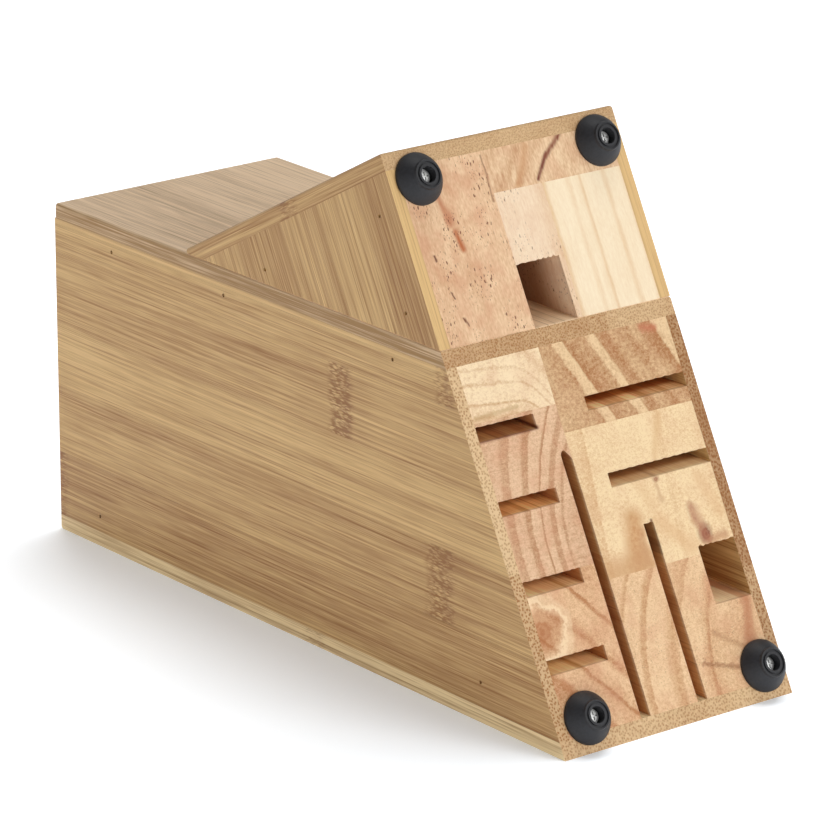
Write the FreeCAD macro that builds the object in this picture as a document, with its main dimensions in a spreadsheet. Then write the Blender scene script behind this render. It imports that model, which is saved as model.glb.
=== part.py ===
import FreeCAD, Part
import math
import os

import Sketcher

# Slanted kitchen knife block lying on its back panel, in millimetres.
# +X runs along the slots towards the sloping base with its four feet, +Z up from the back panel,
# and the origin is the centre of the back panel's outer face.
# "across" is a distance from the left side's outer face, and "along the base" a distance from the
# base's back edge, measured on the sloping base face.

SIZES = {
    # outer shape
    "block_width": 100,
    "block_length": 290,
    "block_depth": 124.6,
    "base_angle": 28,
    "base_length": 209.6,
    # bamboo panels
    "front_panel": 5.7,
    "back_panel": 5.5,
    "side_panel": 4.5,
    "wedge_panel": 6.2,
    "long_edge_round": 1,
    "end_edge_round": 1.5,
    "wedge_edge_round": 1.1,
    # glue seams of the core
    "column_seam": 39.4,
    "left_front_seam": 101.4,
    "left_back_seam": 53,
    "right_front_seam": 92.4,
    "right_back_seam": 47.3,
    "wedge_left_seam": 40.6,
    "wedge_right_seam": 61.4,
    "wedge_cap_stave": 14.9,
    # steak knife slots, milled in from the left
    "steak_reach": 29.2,
    "steak_gap": 4.6,
    "steak_top_one": 100.2,
    "steak_top_two": 77.5,
    "steak_top_three": 53,
    "steak_top_four": 29.3,
    # wide knife slots and the sharpening steel's hole, milled in from the right
    "wide_reach": 51.8,
    "wide_gap": 4.4,
    "wide_top_one": 101.4,
    "wide_top_two": 77.6,
    "steel_left": 79.6,
    "steel_bottom": 31.6,
    "steel_top": 49.4,
    # long kerfs, sawn in from the back
    "kerf_gap": 4.2,
    "long_kerf_top": 87.6,
    "long_kerf_shoulder": 3.4,
    "long_kerf_nose": 1.5,
    "long_kerf_cheek": 2,
    "long_kerf_round": 6,
    "long_kerf_nose_round": 2,
    "short_kerf_left": 60.1,
    "short_kerf_top": 60.2,
    # scissors hole in the wedge
    "scissors_right": 59.2,
    "scissors_top": 144,
    "scissors_overlap": 1,
    # torn wood at the mouths of the slots
    "tear_pitch": 1.1,
    "tear_depth": 1.3,
    "steak_tear": 0.4,
    "wide_tear": 0.35,
    "kerf_tear": 0.9,
    "steel_tear": 1.3,
    "scissors_tear": 1.3,
    # rubber feet
    "foot_radius": 9.1,
    "foot_rim": 1,
    "foot_cone_round": 15,
    "foot_tip_radius": 5.3,
    "foot_tip_start": 5.7,
    "foot_tip_bevel": 0.3,
    "foot_height": 6.5,
    "foot_groove_outer": 4.5,
    "foot_groove_inner": 3.7,
    "foot_groove_deep": 0.5,
    "foot_recess": 2.85,
    "foot_floor": 2.4,
    "foot_bore": 1.6,
    "foot_front_inset": 198.5,
    "foot_back_inset": 11.6,
    "foot_front_left": 12,
    "foot_front_right": 89.5,
    "foot_back_left": 13.5,
    "foot_back_right": 90.8,
    # washers and screws of the feet
    "washer_radius": 2.7,
    "washer_bore": 1.5,
    "washer_thick": 0.6,
    "head_radius": 2.2,
    "head_rim": 0.8,
    "head_height": 1.1,
    "head_round": 8.4,
    "cross_arm": 1.5,
    "cross_slot": 0.55,
    "cross_deep": 0.8,
    "shank_radius": 1.25,
    "shank_bite": 5.5,
    "shank_point": 2,
    "pilot_radius": 1.3,
    "pilot_deep": 7.6,
    # headless panel pins
    "pin_radius": 0.6,
    "pin_length": 18,
    "pin_sink": 1.2,
    "pin_hole_radius": 0.65,
    "pin_hole_deep": 15,
}

# Panel pins of each side: X and Z of their axes.
BLOCK_PINS_FRONT = [(-109.6, 114.2), (-42.2, 114.5), (53.2, 115.2)]
BLOCK_PINS_BACK = [(-120.0, 11.5), (100.6, 14.2)]
WEDGE_PINS_CAP = [(-17.9, 129.6), (46.3, 163.4)]
WEDGE_PINS_BASE = [(60.4, 133.1)]
BLOCK_PINS = BLOCK_PINS_FRONT + BLOCK_PINS_BACK
WEDGE_PINS = WEDGE_PINS_CAP + WEDGE_PINS_BASE

# Feet: sheet names of their place across and along the base.
FEET = {
    "front_left": ("foot_front_left", "foot_front_inset"),
    "front_right": ("foot_front_right", "foot_front_inset"),
    "back_left": ("foot_back_left", "foot_back_inset"),
    "back_right": ("foot_back_right", "foot_back_inset"),
}

ALONG_X = "YZ_Plane"
ALONG_Y = "XZ_Plane"
TINY = 0.01

doc = FreeCAD.newDocument("KnifeBlock")
sheet = doc.addObject("Spreadsheet::Sheet", "Sizes")


# ---- the sheet, and expressions that read it ----

def fill_sheet():
    """Write each driving dimension to a cell with an alias."""
    for row, (alias, value) in enumerate(SIZES.items(), start=1):
        sheet.set(f"A{row}", alias)
        sheet.set(f"B{row}", str(value))
        sheet.setAlias(f"B{row}", alias)
    doc.recompute()


def cell(alias):
    """Expression that reads one cell."""
    return f"Sizes.{alias}"


def number(expression):
    """Value of an expression on the sheet."""
    return float(sheet.evalExpression(expression))


def across(distance):
    """Y at a distance from the left side's outer face."""
    return f"({distance} - Sizes.block_width / 2)"


def base_x(z):
    """X of the sloping base face at height z."""
    return f"(Sizes.block_length / 2 - ({z}) * tan(Sizes.base_angle))"


def wedge_x(along, z):
    """X at height z on the plane square to the base at a distance along it."""
    run = f"(({along}) - ({z}) * cos(Sizes.base_angle))"
    return f"(Sizes.block_length / 2 - {run} / sin(Sizes.base_angle))"


def base_point(along):
    """X and Z at a distance along the base."""
    x = f"(Sizes.block_length / 2 - ({along}) * sin(Sizes.base_angle))"
    z = f"(({along}) * cos(Sizes.base_angle))"
    return x, z


LEFT = across("0")
RIGHT = across(cell("block_width"))
LEFT_CORE = across(cell("side_panel"))
RIGHT_CORE = across(f"{cell('block_width')} - {cell('side_panel')}")
COLUMN_SEAM = across(cell("column_seam"))
SHORT_KERF_LEFT = across(cell("short_kerf_left"))
SHORT_KERF_RIGHT = across(f"{cell('short_kerf_left')} + {cell('kerf_gap')}")
LONG_KERF_LEFT = across(f"{cell('column_seam')} - {cell('kerf_gap')}")
WEDGE_LEFT_SEAM = across(cell("wedge_left_seam"))
WEDGE_RIGHT_SEAM = across(cell("wedge_right_seam"))

TOP_END = "(-Sizes.block_length / 2)"
BACK_FACE = "0"
CORE_BACK = cell("back_panel")
CORE_FRONT = "(Sizes.block_depth - Sizes.front_panel)"
FRONT_FACE = cell("block_depth")
WEDGE_OUTER = cell("base_length")
WEDGE_INNER = "(Sizes.base_length - Sizes.wedge_panel)"
WEDGE_CAP = "(Sizes.base_length - Sizes.wedge_panel - Sizes.wedge_cap_stave)"


# ---- sketches ----

def plane_of(body, role):
    """The body's own origin plane with this role."""
    return next(plane for plane in body.Origin.OriginFeatures if plane.Role == role)


def new_sketch(body, name, role, offset=None):
    """Sketch on one of the body's origin planes, moved by an optional placement."""
    sketch = body.newObject("Sketcher::SketchObject", f"{body.Label}_{name}")
    sketch.AttachmentSupport = [(plane_of(body, role), "")]
    sketch.MapMode = "FlatFace"
    if offset is not None:
        sketch.AttachmentOffset = offset
    return sketch


def pin_point(sketch, geometry, end, x, y):
    """Hold one point of a sketch at two expressions, measured from its origin."""
    for kind, expression in (("DistanceX", x), ("DistanceY", y)):
        constraint = Sketcher.Constraint(kind, -1, 1, geometry, end, number(expression))
        index = sketch.addConstraint(constraint)
        sketch.setExpression(f"Constraints[{index}]", expression)


def bulge_point(start, end, radius):
    """Middle of the arc that turns left from start to end with this radius."""
    chord = end - start
    half = chord.Length / 2
    rise = radius - math.sqrt(radius**2 - half**2)
    outward = FreeCAD.Vector(chord.y, -chord.x, 0).normalize()
    return (start + end) / 2 + outward * rise


def polygon(sketch, points, arcs=None):
    """Closed outline through pairs of expressions; arcs maps a side's number to its radius."""
    arcs = arcs or {}
    corners = [FreeCAD.Vector(number(x), number(y), 0) for x, y in points]
    count = len(corners)
    for side in range(count):
        start = corners[side]
        end = corners[(side + 1) % count]
        if side in arcs:
            middle = bulge_point(start, end, number(arcs[side]))
            sketch.addGeometry(Part.Arc(start, middle, end), False)
        else:
            sketch.addGeometry(Part.LineSegment(start, end), False)
    for side in range(count):
        sketch.addConstraint(Sketcher.Constraint("Coincident", side, 2, (side + 1) % count, 1))
    for side, (x, y) in enumerate(points):
        pin_point(sketch, side, 1, x, y)
    for side, radius in arcs.items():
        index = sketch.addConstraint(Sketcher.Constraint("Radius", side, number(radius)))
        sketch.setExpression(f"Constraints[{index}]", radius)


def circles(sketch, centres, radius):
    """Circles of one radius at pairs of expressions."""
    for index, (x, y) in enumerate(centres):
        centre = FreeCAD.Vector(number(x), number(y), 0)
        sketch.addGeometry(Part.Circle(centre, FreeCAD.Vector(0, 0, 1), number(radius)), False)
        pin_point(sketch, index, 3, x, y)
        constraint = sketch.addConstraint(Sketcher.Constraint("Radius", index, number(radius)))
        sketch.setExpression(f"Constraints[{constraint}]", radius)


# ---- boards ----

def board(label, profile, y_low, y_high):
    """Board with a side profile in XZ, between two places across the block."""
    body = doc.addObject("PartDesign::Body", label)
    body.Label = label
    sketch = new_sketch(body, "profile", ALONG_Y)
    polygon(sketch, profile)
    pad = body.newObject("PartDesign::Pad", f"{label}_pad")
    pad.Profile = sketch
    pad.SideType = "Symmetric"
    pad.setExpression("Length", f"{y_high} - {y_low}")
    body.setExpression("Placement.Base.y", f"({y_high} + {y_low}) / 2")
    doc.recompute()
    return body


def local_y(body, y):
    """Expression for a place across the block in the board's own frame."""
    middle = dict(body.ExpressionEngine)[".Placement.Base.y"]
    return f"({y} - {middle})"


def cut(body, name, sketch, depth=None, reverse=False):
    """Pocket from a sketch, right through both ways where no depth is given."""
    before = body.Shape.Volume
    pocket = body.newObject("PartDesign::Pocket", f"{body.Label}_{name}")
    pocket.Profile = sketch
    if depth is None:
        pocket.Type = "ThroughAll"
        pocket.SideType = "Symmetric"
    else:
        pocket.setExpression("Length", depth)
        pocket.Reversed = reverse
    doc.recompute()
    if body.Shape.Volume > before - TINY:
        raise RuntimeError(f"{pocket.Label} cuts nothing")
    return pocket


def channel(body, name, points, arcs=None):
    """Mill a channel of this YZ outline along X right through a board."""
    sketch = new_sketch(body, name, ALONG_X)
    polygon(sketch, [(local_y(body, y), z) for y, z in points], arcs)
    cut(body, f"{name}_channel", sketch)


def rectangle(y_low, y_high, z_low, z_high):
    """Corners of a rectangle in YZ."""
    return [(y_low, z_low), (y_high, z_low), (y_high, z_high), (y_low, z_high)]


def on_base():
    """Placement on a YZ plane that lays a sketch on the base: its x across, its y along the base."""
    half_length = number("Sizes.block_length / 2")
    tilt = FreeCAD.Rotation(FreeCAD.Vector(1, 0, 0), -number(cell("base_angle")))
    return FreeCAD.Placement(FreeCAD.Vector(0, 0, half_length), tilt)


def splinter(step, seed):
    """Share of the full height that one splinter reaches; every other one stays short."""
    wobble = abs(math.sin(2.3 * step + seed) * math.cos(0.9 * step + 2 * seed))
    return 0.1 + 0.9 * wobble if step % 2 else 0.5 * wobble


def tear(body, name, y_low, y_high, z_top, rise, seed):
    """Break splinters out of a board along the upper edge of a slot's mouth in the base."""
    splinters = max(3, round((number(y_high) - number(y_low)) / number(cell("tear_pitch"))))
    start = local_y(body, y_low)
    span = f"({y_high} - {y_low})"
    edge = f"({z_top} / cos(Sizes.base_angle))"
    points = [(start, f"({edge} - {rise})"), (f"{start} + {span}", f"({edge} - {rise})")]
    for step in range(splinters, -1, -1):
        share = step / splinters
        points.append((f"{start} + {span} * {share:.4f}", f"{edge} + {rise} * {splinter(step, seed):.3f}"))
    sketch = new_sketch(body, name, ALONG_X, on_base())
    polygon(sketch, points)
    cut(body, f"{name}_cut", sketch, cell("tear_depth"))


def drill_pins(body, pins, y_face, from_left, through):
    """Holes for headless pins, right through a side panel or a short way into a core board."""
    side = local_y(body, y_face)
    offset = None if through else FreeCAD.Placement(FreeCAD.Vector(0, 0, -number(side)), FreeCAD.Rotation())
    sketch = new_sketch(body, "pins", ALONG_Y, offset)
    circles(sketch, [(str(x), str(z)) for x, z in pins], cell("pin_hole_radius"))
    depth = None if through else cell("pin_hole_deep")
    cut(body, "pin_holes", sketch, depth, reverse=not from_left)


def drill_foot(body, foot):
    """Pilot hole for one foot's screw, square to the base."""
    place, inset = FEET[foot]
    sketch = new_sketch(body, "pilot", ALONG_X, on_base())
    circles(sketch, [(local_y(body, across(cell(place))), cell(inset))], cell("pilot_radius"))
    cut(body, "pilot_hole", sketch, cell("pilot_deep"))


def round_edges(body, name, radius, chosen):
    """Round the edges whose two ends both pass a test."""
    tip = body.Tip
    names = []
    for index, edge in enumerate(tip.Shape.Edges, start=1):
        if all(chosen(vertex.Point) for vertex in edge.Vertexes):
            names.append(f"Edge{index}")
    fillet = body.newObject("PartDesign::Fillet", f"{body.Label}_{name}")
    fillet.Base = (tip, names)
    fillet.setExpression("Radius", radius)
    doc.recompute()
    body.Tip = fillet


def near(value, target):
    """True where two lengths agree."""
    return abs(value - target) < TINY


# ---- the main block's bamboo panels ----

def flat_profile(z_low, z_high):
    """Side profile of a board between two heights, from the top end to the base."""
    return [(TOP_END, z_low), (base_x(z_low), z_low), (base_x(z_high), z_high), (TOP_END, z_high)]


def make_front_panel():
    """Full-width front panel, which also closes the wedge's back."""
    body = board("main_front_panel", flat_profile(CORE_FRONT, FRONT_FACE), LEFT, RIGHT)
    half = number("Sizes.block_width / 2")
    top = number(FRONT_FACE)
    end = number(TOP_END)
    round_edges(body, "end_round", cell("end_edge_round"), lambda p: near(p.x, end) and near(p.z, top))
    long_round = cell("long_edge_round")
    round_edges(body, "side_round", long_round, lambda p: near(abs(p.y), half) and near(p.z, top))


def make_back_panel():
    """Full-width back panel that the block lies on."""
    body = board("main_back_panel", flat_profile(BACK_FACE, CORE_BACK), LEFT, RIGHT)
    end = number(TOP_END)
    round_edges(body, "end_round", cell("long_edge_round"), lambda p: near(p.x, end) and near(p.z, 0))


def make_side_panel(name, y_low, y_high):
    """Side panel between the front and back panels, with pin holes."""
    body = board(name, flat_profile(CORE_BACK, CORE_FRONT), y_low, y_high)
    drill_pins(body, BLOCK_PINS, y_low, True, through=True)


# ---- the main block's core staves, with the channels milled in them ----

def steak_slot(body, top):
    """One steak knife slot."""
    z_top = cell(top)
    right = across(cell("steak_reach"))
    channel(body, top, rectangle(LEFT_CORE, right, f"({z_top} - Sizes.steak_gap)", z_top))
    tear(body, f"{top}_tear", LEFT_CORE, right, z_top, cell("steak_tear"), number(z_top))


def wide_slot(body, top):
    """One wide knife slot."""
    z_top = cell(top)
    left = across(cell("wide_reach"))
    channel(body, top, rectangle(left, RIGHT_CORE, f"({z_top} - Sizes.wide_gap)", z_top))
    tear(body, f"{top}_tear", left, RIGHT_CORE, z_top, cell("wide_tear"), number(z_top))


def long_kerf(body):
    """Part of the long kerf that falls in a left stave; its end is rounded off to one side."""
    tip = cell("long_kerf_top")
    corners = [
        (LONG_KERF_LEFT, BACK_FACE),
        (COLUMN_SEAM, BACK_FACE),
        (COLUMN_SEAM, f"({tip} - Sizes.long_kerf_shoulder)"),
        (f"({LONG_KERF_LEFT} + Sizes.long_kerf_nose)", tip),
        (LONG_KERF_LEFT, f"({tip} - Sizes.long_kerf_cheek)"),
    ]
    channel(body, "long_kerf", corners, {2: cell("long_kerf_round"), 3: cell("long_kerf_nose_round")})


def steel_hole(body):
    """Part of the sharpening steel's square hole that falls in a right stave."""
    corners = rectangle(across(cell("steel_left")), RIGHT_CORE, cell("steel_bottom"), cell("steel_top"))
    channel(body, "steel", corners)


def make_left_core():
    """Three staves of the left column."""
    profile = flat_profile(cell("left_front_seam"), CORE_FRONT)
    front = board("core_left_front", profile, LEFT_CORE, COLUMN_SEAM)
    drill_pins(front, BLOCK_PINS_FRONT, LEFT_CORE, True, through=False)

    profile = flat_profile(cell("left_back_seam"), cell("left_front_seam"))
    middle = board("core_left_middle", profile, LEFT_CORE, COLUMN_SEAM)
    long_kerf(middle)
    steak_slot(middle, "steak_top_one")
    steak_slot(middle, "steak_top_two")
    slot_right = across(cell("steak_reach"))
    z_top = cell("steak_top_three")
    tear(middle, "steak_top_three_tear", LEFT_CORE, slot_right, z_top, cell("steak_tear"), number(z_top))

    back = board("core_left_back", flat_profile(CORE_BACK, cell("left_back_seam")), LEFT_CORE, COLUMN_SEAM)
    long_kerf(back)
    channel(back, "steak_three", rectangle(LEFT_CORE, slot_right, f"({z_top} - Sizes.steak_gap)", z_top))
    steak_slot(back, "steak_top_four")
    drill_pins(back, BLOCK_PINS_BACK, LEFT_CORE, True, through=False)
    drill_foot(back, "back_left")


def make_right_core():
    """Four staves of the right column; the short kerf parts the two at the back."""
    front_profile = flat_profile(cell("right_front_seam"), CORE_FRONT)
    front = board("core_right_front", front_profile, COLUMN_SEAM, RIGHT_CORE)
    wide_slot(front, "wide_top_one")
    drill_pins(front, BLOCK_PINS_FRONT, RIGHT_CORE, False, through=False)

    middle_profile = flat_profile(cell("right_back_seam"), cell("right_front_seam"))
    middle = board("core_right_middle", middle_profile, COLUMN_SEAM, RIGHT_CORE)
    wide_slot(middle, "wide_top_two")
    kerf_top = cell("short_kerf_top")
    channel(middle, "short_kerf", rectangle(SHORT_KERF_LEFT, SHORT_KERF_RIGHT, BACK_FACE, kerf_top))
    tear(middle, "short_kerf_tear", SHORT_KERF_LEFT, SHORT_KERF_RIGHT, kerf_top, cell("kerf_tear"), 2.0)
    steel_hole(middle)
    steel_left = across(cell("steel_left"))
    tear(middle, "steel_tear", steel_left, RIGHT_CORE, cell("steel_top"), cell("steel_tear"), 3.0)

    back_profile = flat_profile(CORE_BACK, cell("right_back_seam"))
    board("core_right_back_inner", back_profile, COLUMN_SEAM, SHORT_KERF_LEFT)
    outer = board("core_right_back_outer", back_profile, SHORT_KERF_RIGHT, RIGHT_CORE)
    steel_hole(outer)
    drill_pins(outer, BLOCK_PINS_BACK, RIGHT_CORE, False, through=False)
    drill_foot(outer, "back_right")


# ---- the wedge on the block's front ----

def wedge_profile(along):
    """Triangle between the front panel, the base, and a plane square to the base."""
    return [(wedge_x(along, FRONT_FACE), FRONT_FACE), (base_x(FRONT_FACE), FRONT_FACE), base_point(along)]


def strip_profile(inner, outer):
    """Board along the wedge's slope between two planes square to the base."""
    return [
        (wedge_x(outer, FRONT_FACE), FRONT_FACE),
        (wedge_x(inner, FRONT_FACE), FRONT_FACE),
        base_point(inner),
        base_point(outer),
    ]


def scissors_hole(body):
    """Part of the scissors hole that falls in a board of the wedge."""
    right = across(cell("scissors_right"))
    bottom = "(Sizes.block_depth - Sizes.scissors_overlap)"
    channel(body, "scissors", rectangle(WEDGE_LEFT_SEAM, right, bottom, cell("scissors_top")))


def make_wedge_panels():
    """Sloping front panel and the two triangular side panels."""
    front = board("wedge_front_panel", strip_profile(WEDGE_INNER, WEDGE_OUTER), LEFT, RIGHT)
    half = number("Sizes.block_width / 2")
    tilt = math.radians(number(cell("base_angle")))
    reach = number(WEDGE_OUTER)
    half_length = number("Sizes.block_length / 2")

    def on_outer_side(p):
        along = p.z * math.cos(tilt) - (p.x - half_length) * math.sin(tilt)
        return near(abs(p.y), half) and near(along, reach)

    round_edges(front, "round", cell("wedge_edge_round"), on_outer_side)
    scissors_hole(front)
    inner_side = wedge_profile(WEDGE_INNER)
    left = board("wedge_side_left", inner_side, LEFT, LEFT_CORE)
    drill_pins(left, WEDGE_PINS, LEFT, True, through=True)
    right = board("wedge_side_right", inner_side, RIGHT_CORE, RIGHT)
    drill_pins(right, WEDGE_PINS, RIGHT_CORE, True, through=True)


def make_wedge_core():
    """Four staves inside the wedge."""
    left = board("wedge_core_left", wedge_profile(WEDGE_INNER), LEFT_CORE, WEDGE_LEFT_SEAM)
    drill_pins(left, WEDGE_PINS, LEFT_CORE, True, through=False)
    drill_foot(left, "front_left")
    cap = board("wedge_core_cap", strip_profile(WEDGE_CAP, WEDGE_INNER), WEDGE_LEFT_SEAM, RIGHT_CORE)
    scissors_hole(cap)
    drill_pins(cap, WEDGE_PINS_CAP, RIGHT_CORE, False, through=False)
    drill_foot(cap, "front_right")
    middle = board("wedge_core_middle", wedge_profile(WEDGE_CAP), WEDGE_LEFT_SEAM, WEDGE_RIGHT_SEAM)
    scissors_hole(middle)
    hole_right = across(cell("scissors_right"))
    z_top = cell("scissors_top")
    tear(middle, "scissors_tear", WEDGE_LEFT_SEAM, hole_right, z_top, cell("scissors_tear"), 4.0)
    right = board("wedge_core_right", wedge_profile(WEDGE_CAP), WEDGE_RIGHT_SEAM, RIGHT_CORE)
    drill_pins(right, WEDGE_PINS_BASE, RIGHT_CORE, False, through=False)


# ---- feet, washers, screws and pins ----

def stand_on_base(piece, foot):
    """Place a piece made along Z on the base, pointing out of it, at one foot's place."""
    place, inset = FEET[foot]
    x, z = base_point(cell(inset))
    lean = FreeCAD.Rotation(FreeCAD.Vector(0, 1, 0), 90 - number(cell("base_angle")))
    piece.Placement = FreeCAD.Placement(FreeCAD.Vector(0, 0, 0), lean)
    piece.setExpression("Placement.Rotation.Angle", "90 - Sizes.base_angle")
    piece.setExpression("Placement.Base.x", x)
    piece.setExpression("Placement.Base.y", across(cell(place)))
    piece.setExpression("Placement.Base.z", z)


def turned(label, outline, arcs):
    """Piece turned about Z from an outline of radius and height."""
    body = doc.addObject("PartDesign::Body", label)
    body.Label = label
    sketch = new_sketch(body, "profile", ALONG_Y)
    polygon(sketch, outline, arcs)
    revolution = body.newObject("PartDesign::Revolution", f"{label}_turn")
    revolution.Profile = sketch
    revolution.ReferenceAxis = (sketch, ["V_Axis"])
    revolution.Angle = 360
    doc.recompute()
    return body


def make_foot(foot):
    """Rubber cone foot with a grooved tip and a recess for its screw."""
    height = cell("foot_height")
    groove_floor = "(Sizes.foot_height - Sizes.foot_groove_deep)"
    outline = [
        (cell("foot_bore"), "0"),
        (cell("foot_radius"), "0"),
        (cell("foot_radius"), cell("foot_rim")),
        (cell("foot_tip_radius"), cell("foot_tip_start")),
        ("(Sizes.foot_tip_radius - Sizes.foot_tip_bevel)", height),
        (cell("foot_groove_outer"), height),
        (cell("foot_groove_outer"), groove_floor),
        (cell("foot_groove_inner"), groove_floor),
        (cell("foot_groove_inner"), height),
        (cell("foot_recess"), height),
        (cell("foot_recess"), cell("foot_floor")),
        (cell("foot_bore"), cell("foot_floor")),
    ]
    body = turned(f"foot_{foot}", outline, {2: cell("foot_cone_round")})
    stand_on_base(body, foot)


def make_screw(foot):
    """Pan head wood screw with a cross recess; its thread is left plain."""
    seat = "(Sizes.foot_floor + Sizes.washer_thick)"
    top = f"({seat} + Sizes.head_height)"
    outline = [
        ("0", "-(Sizes.shank_bite + Sizes.shank_point)"),
        (cell("shank_radius"), "-Sizes.shank_bite"),
        (cell("shank_radius"), seat),
        (cell("head_radius"), seat),
        (cell("head_radius"), f"({seat} + Sizes.head_rim)"),
        ("0", top),
    ]
    body = turned(f"foot_screw_{foot}", outline, {4: cell("head_round")})
    lift = FreeCAD.Placement(FreeCAD.Vector(0, 0, number(top)), FreeCAD.Rotation())
    sketch = new_sketch(body, "cross", "XY_Plane", lift)
    arm = cell("cross_arm")
    half = "(Sizes.cross_slot / 2)"
    quarter = [(arm, f"-{half}"), (arm, half), (half, half), (half, arm)]
    opposite = [(f"-{x}", f"-{y}") for x, y in quarter]
    corners = quarter + [(f"-{half}", arm), (f"-{half}", half), (f"-{arm}", half)]
    corners += [(f"-{arm}", f"-{half}"), opposite[2], (f"-{half}", f"-{arm}")]
    corners += [(half, f"-{arm}"), (half, f"-{half}")]
    polygon(sketch, corners)
    cut(body, "cross_recess", sketch, cell("cross_deep"))
    stand_on_base(body, foot)


def make_washer(foot):
    """Flat ring under the screw's head."""
    ring = doc.addObject("Part::Cylinder", f"washer_ring_{foot}")
    ring.setExpression("Radius", cell("washer_radius"))
    ring.setExpression("Height", cell("washer_thick"))
    ring.setExpression("Placement.Base.z", cell("foot_floor"))
    bore = doc.addObject("Part::Cylinder", f"washer_bore_{foot}")
    bore.setExpression("Radius", cell("washer_bore"))
    bore.setExpression("Height", "2 * Sizes.washer_thick")
    bore.setExpression("Placement.Base.z", "Sizes.foot_floor - Sizes.washer_thick / 2")
    washer = doc.addObject("Part::Cut", f"foot_washer_{foot}")
    washer.Label = f"foot_washer_{foot}"
    washer.Base = ring
    washer.Tool = bore
    doc.recompute()
    stand_on_base(washer, foot)
    return washer


def make_pins(label, places, from_left):
    """Group of headless pins driven in square to one side."""
    pins = []
    for index, (x, z) in enumerate(places, start=1):
        pin = doc.addObject("Part::Cylinder", f"{label}_{index}")
        pin.setExpression("Radius", cell("pin_radius"))
        pin.setExpression("Height", cell("pin_length"))
        turn = -90 if from_left else 90
        head = f"{LEFT} + Sizes.pin_sink" if from_left else f"{RIGHT} - Sizes.pin_sink"
        pin.Placement = FreeCAD.Placement(
            FreeCAD.Vector(x, 0, z), FreeCAD.Rotation(FreeCAD.Vector(1, 0, 0), turn)
        )
        pin.setExpression("Placement.Base.y", head)
        pins.append(pin)
    group = doc.addObject("Part::Compound", label)
    group.Label = label
    group.Links = pins
    return group


# ---- the whole block ----

def check_document():
    """Stop where any object failed or any sub-part's shape is unsound."""
    for item in doc.Objects:
        if "Invalid" in item.State or "Error" in item.State:
            raise RuntimeError(f"{item.Label} failed: {item.State}")


def export(parts):
    """Write each sub-part to its own file."""
    os.makedirs("parts", exist_ok=True)
    for part in parts:
        shape = part.Shape
        if shape.isNull() or not shape.isValid():
            raise RuntimeError(f"{part.Label} has no sound shape")
    for part in parts:
        part.Shape.exportStep(f"parts/{part.Label}.step")


def main():
    """Build every piece and write it out."""
    fill_sheet()
    make_front_panel()
    make_back_panel()
    make_side_panel("main_side_left", LEFT, LEFT_CORE)
    make_side_panel("main_side_right", RIGHT_CORE, RIGHT)
    make_left_core()
    make_right_core()
    make_wedge_panels()
    make_wedge_core()
    others = []
    for foot in FEET:
        make_foot(foot)
        make_screw(foot)
        others.append(make_washer(foot))
    for side, from_left in (("left", True), ("right", False)):
        others.append(make_pins(f"block_pins_{side}", BLOCK_PINS, from_left))
        others.append(make_pins(f"wedge_pins_{side}", WEDGE_PINS, from_left))
    doc.recompute()
    check_document()
    bodies = [item for item in doc.Objects if item.TypeId == "PartDesign::Body"]
    export(bodies + others)


main()
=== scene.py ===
"""Finishes, floor, light and camera of an empty slanted knife block that lies on its back."""

import logging
import math
from collections.abc import Callable
from dataclasses import dataclass, field
from enum import Enum

import bpy
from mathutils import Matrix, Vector

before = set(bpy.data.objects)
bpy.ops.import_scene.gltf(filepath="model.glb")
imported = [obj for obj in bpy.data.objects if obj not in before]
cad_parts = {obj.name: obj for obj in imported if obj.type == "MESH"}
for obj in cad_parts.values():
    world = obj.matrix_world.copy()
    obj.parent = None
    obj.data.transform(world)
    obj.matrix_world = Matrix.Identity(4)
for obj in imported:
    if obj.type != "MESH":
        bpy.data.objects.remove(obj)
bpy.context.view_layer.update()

LOG = logging.getLogger("knife_block")

Point = tuple[float, float]
Direction = tuple[float, float, float]
Colour = tuple[float, float, float, float]
Stops = tuple[Point, ...]

# object coordinates come in metres, and the finishes give their places in millimetres
MILLIMETRES = 1000.0

# the base leans this far from upright, and meets the floor this far along the block
LEAN = math.radians(28.0)
BASE_EDGE = 145.0
BASE_NORMAL: Direction = (math.cos(LEAN), 0.0, math.sin(LEAN))
BASE_RISE: Direction = (-math.sin(LEAN), 0.0, math.cos(LEAN))
X_AXIS: Direction = (1.0, 0.0, 0.0)
Y_AXIS: Direction = (0.0, 1.0, 0.0)

# what a noise of 0 to 1 averages
NOISE_MEAN = 0.5

# the sockets that a Mix node uses for colours
MIX_FACTOR, MIX_FIRST, MIX_SECOND, MIX_RESULT = 0, 6, 7, 2

# how far each layer of streaks swings a bamboo face, from 0, its dark colour, to 1, its light one
BROAD_SWING, CLOUD_SWING, MEDIUM_SWING, FINE_SWING, DASH_SWING = 0.6, 0.4, 1.3, 0.9, 0.5
# how far fibre bundles and glue lines darken it, and pale lines lighten it
VESSEL_SHADE, GLUE_SHADE, PALE_SHADE = 0.32, 0.24, 0.16
# half the width of a glue line, and the softness of a strip's edges, in millimetres
GLUE_WIDTH, STRIP_SOFTNESS = 0.45, 0.35
# the share of the dots' shade that the end gets back, so that they leave it as light as it was
DOT_MEAN = 0.38

# growth bands bend round a knot from the first of these distances to the second, in knot sizes
KNOT_REACH: Point = (2.6, 0.6)
# how close together a knot's rings lie
KNOT_RINGS = 14.0


def tint(red: int, green: int, blue: int) -> Colour:
    """Turns a display colour of 0 to 255 into the linear colour that a shader takes.

    Args:
        red: the red part.
        green: the green part.
        blue: the blue part.

    Returns:
        The linear colour by the usual display curve, with an alpha of 1.
    """
    parts = (part / 255.0 for part in (red, green, blue))
    linear = (p / 12.92 if p <= 0.04045 else ((p + 0.055) / 1.055) ** 2.4 for p in parts)
    return (*linear, 1.0)


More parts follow.
